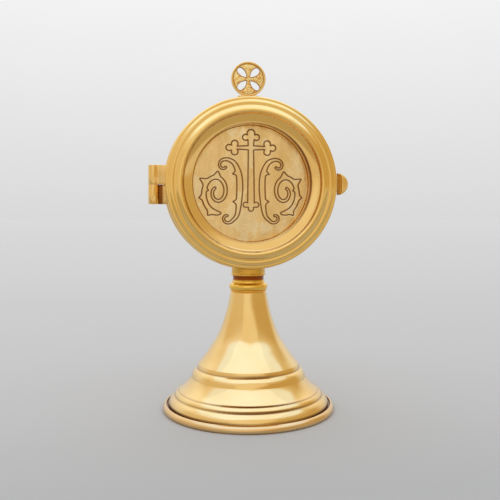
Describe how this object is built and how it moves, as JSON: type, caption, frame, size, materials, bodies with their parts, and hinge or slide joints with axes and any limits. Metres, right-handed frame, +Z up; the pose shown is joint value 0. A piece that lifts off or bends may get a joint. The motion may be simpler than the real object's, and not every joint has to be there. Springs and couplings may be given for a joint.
{
  "type": "host custodial",
  "caption": "Round gilt host case with a hinged engraved door and a spring thumb catch, on a flared turned foot, with a pierced cross in a ring on top.",
  "frame": {"origin": "middle of the foot's underside, on the axis of the stem", "axes": "+Z up along the stem, -Y out of the door, +X to the right of someone who faces the door, where the catch is"},
  "size_m": [0.1075, 0.0916, 0.1864],
  "materials": {
    "polished_gilt": "polished, gold plated and lacquered",
    "satin_gilt": "satin, gold plated",
    "spring_steel": "spring strip, bare"
  },
  "bodies": {
    "stand": {"foot_rim": "polished_gilt", "foot_shell": "polished_gilt", "neck_ring": "polished_gilt", "neck_spool": "polished_gilt", "case_collar": "polished_gilt", "case_wall": "polished_gilt", "case_rim": "polished_gilt", "case_back": "polished_gilt", "hinge_leaf_case": "polished_gilt", "hinge_pin": "polished_gilt", "finial_saddle": "polished_gilt", "finial_ring": "polished_gilt", "clamp_washer": "satin_gilt", "foot_nut": "satin_gilt", "stem_stud": "satin_gilt", "holder_fork": "satin_gilt", "crescent_front": "satin_gilt", "crescent_rear": "satin_gilt", "crescent_spacer": "satin_gilt", "crescent_rivet_left": "satin_gilt", "crescent_rivet_right": "satin_gilt", "holder_pin": "satin_gilt", "catch_guide": "satin_gilt", "guide_rivet_upper": "satin_gilt", "guide_rivet_lower": "satin_gilt", "finial_cross": "satin_gilt", "finial_stud": "satin_gilt", "finial_nut": "satin_gilt", "catch_spring": "spring_steel"},
    "door": {"door_bezel": "polished_gilt", "engraved_plate": "satin_gilt", "door_back": "satin_gilt", "door_spigot": "polished_gilt", "hinge_leaf_door": "polished_gilt"},
    "catch": {"thumb_catch": "polished_gilt"}
  },
  "joints": [
    {"name": "door_swing", "type": "hinge", "parent": "stand", "child": "door", "pos_m": [-0.0505, -0.0083, 0.1192], "axis": [0, 0, -1], "range_deg": [0, 120]},
    {"name": "catch_press", "type": "slide", "parent": "stand", "child": "catch", "axis": [-1, 0, 0], "range_m": [0, 0.0013], "stiffness_N_per_m": 600, "springref_m": -0.0015, "deforming": ["catch_spring"]}
  ]
}
